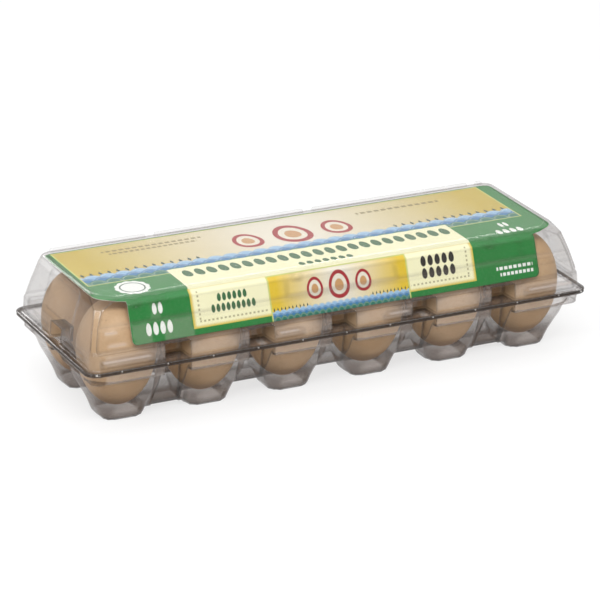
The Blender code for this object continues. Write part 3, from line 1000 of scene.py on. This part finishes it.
class Print:
    """Fields of colour laid over each other on the card. x runs along the carton and s from the back
    edge over the fold and down the front, both in millimetres."""

    def __init__(self, look, ground):
        self.look = look
        across, along, _ = look.parts(look.node("ShaderNodeUVMap", {"uv_map": "print"}))
        self.x = across * PRINT_LENGTH - PRINT_LENGTH / 2
        self.s = along * PRINT_DEPTH - PRINT_FRONT
        self.colour = ground

    def lay(self, mask, colour):
        self.colour = self.look.mix(mask, self.colour, colour)

    def box(self, left, right, low, high, soft=0.3):
        return self.x.within(left, right, soft) * self.s.within(low, high, soft)

    def oval(self, x, s, half_x, half_s, soft=0.12, dx=None):
        """An egg shape with its blunt end down."""
        dx = (self.x - x) if dx is None else dx
        ds = (self.s - s) / half_s
        wide = dx / half_x * (1 + ds * 0.12)
        return (wide * wide + ds * ds).below(1.0, soft * 4 / half_x)

    def row(self, left, right, s, half_s, count, fill=0.74):
        """An even row of small egg shapes."""
        pitch = (right - left) / count
        dx = (self.x - (left + pitch / 2)).wrapped(pitch)
        return self.oval(0, s, pitch * fill / 2, half_s, 0.12, dx) * self.x.within(left, right, 0.1)

    def dashes(self, left, right, s, half_s, pitch, fill=0.7):
        """A fine line of short dashes."""
        dx = (self.x - left).wrapped(pitch)
        line = dx.within(-pitch * fill / 2, pitch * fill / 2, 0.3)
        return line * self.s.within(s - half_s, s + half_s, 0.3) * self.x.within(left, right, 0.3)

    def scales(self, inside, low, pitch, rows):
        """Overlapping half rounds like fish scales, from the top row down, each row half a pitch along."""
        for number, colour in enumerate(rows):
            level = low + (len(rows) - 1 - number) * pitch * 0.42
            dx = (self.x - number * pitch / 2).wrapped(pitch)
            ds = self.s - level
            reach = (dx * dx + ds * ds) ** 0.5
            shape = reach.below(pitch * 0.56, 0.3).math("MAXIMUM", self.s.below(level, 0.3))
            self.lay(inside * shape, colour)
            self.lay(inside * reach.within(pitch * 0.40, pitch * 0.46, 0.3) * 0.35, WHITE)

    def diamonds(self, inside, s, pitch, half_s):
        """An even row of narrow upright diamonds."""
        dx = abs(self.x.wrapped(pitch)) / (pitch * 0.2)
        ds = abs(self.s - s) / half_s
        self.lay(inside * (dx + ds).below(1.0, 0.25), LEAF)

    def medallion(self, x, s, half):
        """An egg in a pale egg-shaped field with a broad red ring."""
        tall = half * 1.25
        self.lay(self.oval(x, s, half, tall), RED)
        self.lay(self.oval(x, s, half * 0.72, tall * 0.72), PALE_SKY)
        self.lay(self.oval(x, s - tall * 0.05, half * 0.42, tall * 0.42), SHELL)


def lay_picture(art, left, right, low, high, scale, gold):
    """Pale outline round a golden field that is paler in the middle, then diamonds at both sides of it and
    rows of scales along its foot."""
    art.lay(art.box(left - 0.8, right + 0.8, low - 0.8, high + 0.8), ink(206, 214, 120))
    middle = (left + right) / 2
    side = abs(art.x - middle) / ((right - left) / 2)
    inside = art.box(left, right, low, high)
    art.lay(inside, art.look.mix(side.above(0.5, 0.8), PALE_SKY, gold))
    art.diamonds(inside * side.above(0.45, 0.02), low + 14.6 * scale, 5.2 * scale, 2.6 * scale)
    art.scales(inside, low + 1.0 * scale, 9.0 * scale, (FAR_BLUE, NEAR_BLUE, SEA_GREEN))


def lay_labels(art, cream):
    """The two cream labels down the front, each with a golden edge, two dotted lines inside it and two
    rows of egg shapes."""
    foot = down_front(48.7)
    for left, right, outer in ((-86.5, -41.0, -1), (42.0, 83.0, 1)):
        art.lay(art.box(left, right, foot, CARD_FOLD - 0.8), ink(226, 200, 84))
        inner = (left + 1.3, right) if outer < 0 else (left, right - 1.3)
        art.lay(art.box(*inner, foot + 1.1, CARD_FOLD - 0.8, 1.6), cream)
        side = left + 4.4 if outer < 0 else right - 4.4
        dots = abs(art.x - side).below(0.5, 0.4) * abs((art.s - foot).wrapped(2.4)).below(0.6, 0.4)
        art.lay(dots * art.s.within(foot + 3.0, CARD_FOLD - 2, 0.1) * 0.6, OLIVE)
        dots = abs(art.s - (foot + 3.4)).below(0.5, 0.4) * abs((art.x - side).wrapped(2.4)).below(0.6, 0.4)
        span = art.x.within(left + 4, right - 1, 0.1) if outer < 0 else art.x.within(left + 1, right - 4, 0.1)
        art.lay(dots * span * 0.6, OLIVE)
    art.lay(art.row(-71.5, -53.5, down_front(62.4), 2.2, 6), FOREST_GREEN)
    art.lay(art.row(-75.5, -49.0, down_front(57.2), 2.2, 9), FOREST_GREEN)
    art.lay(art.row(50.0, 71.6, down_front(63.2), 2.9, 5), BLACK)
    art.lay(art.row(50.0, 71.6, down_front(56.9), 2.9, 5), BLACK)


def lay_seal(art, x, s):
    """White scalloped roundel with a thin ring."""
    across = art.x - x
    along = art.s - s
    reach = (across * across + along * along) ** 0.5
    scallop = reach - (along.math("ARCTAN2", across) * 12).math("COSINE") * 0.35
    art.lay(scallop.below(9.4, 0.3), WHITE)
    art.lay(reach.within(6.3, 7.1, 0.3), ink(40, 84, 58))


def printed_card():
    """Coated card: green ground, two golden fields with medallions, cream fields, a seal, and rows of egg
    shapes and dashes."""
    look = Finish("card_print_ink", Roughness=0.4, Specular_IOR_Level=0.5)
    place = look.place()
    fibre = look.noise(place, 900.0, 3.0, 0.6)
    mottle = look.noise(place, 120.0, 2.0)
    art = Print(look, look.mix(mottle, GREEN, ink(8, 132, 54)))
    art.lay(art.box(-136.0, -134.0, -25.0, 39.0), DEEP_GREEN)
    lay_picture(art, -132.3, 128.0, -12.9, 39.0, 1.0, DULL_GOLD)
    for centre, half in ((-27.0, 8.5), (0.0, 10.8), (27.0, 8.5)):
        art.medallion(centre, 14.5, half)
    art.lay(art.dashes(-107.0, -48.0, 30.6, 1.1, 3.9) * 0.7, OLIVE)
    art.lay(art.dashes(-104.0, -52.0, 26.4, 1.1, 3.3) * 0.7, OLIVE)
    art.lay(art.dashes(46.0, 98.0, 28.0, 1.3, 4.3) * 0.7, OLIVE)
    cream = look.mix(mottle, CREAM, ink(254, 252, 214))
    art.lay(art.box(-85.8, 83.0, CARD_FOLD - 2.0, -8.6), cream)
    art.lay(art.row(-81.0, 81.0, -17.6, 4.9, 23), FOREST_GREEN)
    art.lay(art.row(-18.0, 15.5, -29.8, 2.4, 7), FOREST_GREEN)
    lay_labels(art, cream)
    lay_picture(art, -40.4, 41.4, down_front(44.0), down_front(67.4), 0.42, GOLD)
    for centre, half in ((-14.0, 4.8), (0.5, 6.2), (15.0, 4.8)):
        art.medallion(centre, down_front(59.0), half)
    art.lay(art.row(-109.0, -102.2, down_front(62.0), 3.0, 2), WHITE)
    art.lay(art.row(-114.0, -97.8, down_front(52.2), 3.4, 4), WHITE)
    art.lay(art.row(109.2, 115.4, -21.6, 3.2, 2), WHITE)
    art.lay(art.row(102.4, 119.6, -31.4, 3.2, 4), WHITE)
    art.lay(art.dashes(96.0, 118.6, down_front(52.8), 0.9, 2.9), WHITE)
    art.lay(art.dashes(98.0, 118.6, down_front(49.6), 0.9, 2.5), WHITE)
    lay_seal(art, -112.3, -24.4)
    tone = look.mix(fibre.above(0.62, 0.25) * 0.03, art.colour, WHITE)
    return look.finish(
        Base_Color=tone,
        Roughness=mottle * 0.14 + 0.3,
        Normal=look.bump(fibre, 0.12, 0.0002),
    )


def card_back():
    """Plain grey board on the card's unprinted side and cut edges."""
    look = Finish("card_board", Roughness=0.8)
    place = look.place()
    fibre = look.noise(place, 800.0, 4.0, 0.65)
    speck = look.noise(place, 240.0, 2.0)
    tone = look.mix(fibre, ink(196, 190, 176), ink(224, 219, 206))
    tone = look.mix(speck.above(0.66, 0.1) * 0.3, tone, ink(150, 140, 122))
    return look.finish(Base_Color=tone, Normal=look.bump(fibre, 0.3, 0.0003))


# Studio


def floor_finish():
    look = Finish("pale_floor", Roughness=0.8, Specular_IOR_Level=0.1, Emission_Strength=0.72)
    look.shader.inputs["Emission Color"].default_value = (1.0, 1.0, 1.0, 1.0)
    tone = look.mix(look.noise(look.place(), 6.0, 2.0), (0.22, 0.22, 0.22, 1), (0.24, 0.24, 0.24, 1))
    return look.finish(Base_Color=tone)


def build_floor():
    half = 4000.0
    points = np.array([[-half, -half, 0], [half, -half, 0], [half, half, 0], [-half, half, 0]]) * MM
    mesh = bpy.data.meshes.new("floor")
    mesh.from_pydata(points.tolist(), [], [(0, 1, 2, 3)])
    mesh.materials.append(floor_finish())
    floor = bpy.data.objects.new("floor", mesh)
    bpy.context.scene.collection.objects.link(floor)


def add_lamp(name, place, target, size, power):
    """Soft box at a place, facing a target."""
    light = bpy.data.lights.new(name, "AREA")
    light.shape = "RECTANGLE"
    light.size, light.size_y = size
    light.energy = power
    lamp = bpy.data.objects.new(name, light)
    bpy.context.scene.collection.objects.link(lamp)
    lamp.location = place
    lamp.rotation_euler = (Vector(target) - Vector(place)).to_track_quat("-Z", "Y").to_euler()


def build_world():
    """Even bright room, dimmer low down on the camera's side so that the front wall stays clear."""
    world = bpy.data.worlds.new("studio")
    world.use_nodes = True
    sky = Nodes(world.node_tree)
    x, y, z = sky.parts(sky.node("ShaderNodeTexCoord", output="Generated"))
    to_camera = x * CAMERA_SIDE[0] + y * CAMERA_SIDE[1]
    dim = to_camera.above(0.35, 0.5) * z.below(0.5, 0.3)
    tone = sky.mix(dim, (1.0, 1.0, 1.0, 1.0), (0.2, 0.2, 0.2, 1.0))
    background = world.node_tree.nodes["Background"]
    put(background.inputs["Color"], tone)
    background.inputs["Strength"].default_value = 0.6
    bpy.context.scene.world = world


def build_light():
    build_world()
    add_lamp("overhead", (0.0, 0.1, 1.3), (0, 0, 0), (1.6, 1.2), 7.5)
    add_lamp("left_box", (-1.1, -0.3, 0.9), (0, 0, 0.03), (0.2, 1.1), 5.0)
    add_lamp("back_strip", (0.2, 1.3, 0.75), (0, 0, 0.05), (1.6, 0.14), 4.0)
    add_lamp("front_box", (-0.45, -1.1, 1.5), (0, 0, 0.05), (1.3, 0.4), 22.0)


# Camera: the photograph's angle, distance and framing
CAMERA_AZIMUTH = math.radians(-26.22)
CAMERA_ELEVATION = math.radians(21.23)
CAMERA_ROLL = math.radians(0.47)
CAMERA_DISTANCE = 1.885
CAMERA_LENS = 205.8
CAMERA_SHIFT = (-0.0052, -0.0009)
CAMERA_TARGET = (0.0, 0.0, 0.035)
CAMERA_SIDE = (math.sin(CAMERA_AZIMUTH), -math.cos(CAMERA_AZIMUTH))


def build_camera():
    """Look at the target from the azimuth and elevation, turned about the view by the roll."""
    flat = math.cos(CAMERA_ELEVATION)
    back = Vector((CAMERA_SIDE[0] * flat, CAMERA_SIDE[1] * flat, math.sin(CAMERA_ELEVATION)))
    level = Vector((math.cos(CAMERA_AZIMUTH), math.sin(CAMERA_AZIMUTH), 0.0))
    upright = back.cross(level)
    right = level * math.cos(CAMERA_ROLL) + upright * math.sin(CAMERA_ROLL)
    up = upright * math.cos(CAMERA_ROLL) - level * math.sin(CAMERA_ROLL)
    data = bpy.data.cameras.new("camera")
    data.lens = CAMERA_LENS
    data.sensor_width = 36.0
    data.shift_x, data.shift_y = CAMERA_SHIFT
    data.clip_end = 50.0
    camera = bpy.data.objects.new("camera", data)
    bpy.context.scene.collection.objects.link(camera)
    turn = Matrix((right, up, back)).transposed().to_4x4()
    camera.matrix_world = Matrix.Translation(Vector(CAMERA_TARGET) + back * CAMERA_DISTANCE) @ turn
    bpy.context.scene.camera = camera


def main():
    build_camera()
    brown_smoke = (ink(84, 58, 40), ink(108, 80, 58))
    grey_smoke = (ink(102, 90, 84), ink(126, 113, 106))
    tray_finish = clear_plastic("tray_plastic", brown_smoke, haze=0.105, edge_on=0.2, crease_shade=0.3, gloss=1.5)
    lid_finish = clear_plastic("lid_plastic", grey_smoke, haze=0.06, edge_on=0.25, crease_shade=0.2, gloss=1.95)
    build_tray().data.materials.append(tray_finish)
    build_lid().data.materials.append(lid_finish)
    build_bead().data.materials.append(lid_finish)
    build_nubs().data.materials.append(nub_plastic())
    card = build_card()
    card.data.materials.append(printed_card())
    card.data.materials.append(card_back())
    shell = eggshell()
    for egg in build_eggs():
        egg.data.materials.append(shell)
    build_floor()
    build_light()
    scene = bpy.context.scene
    scene.view_settings.view_transform = "Standard"
    scene.cycles.transparent_max_bounces = 40


main()
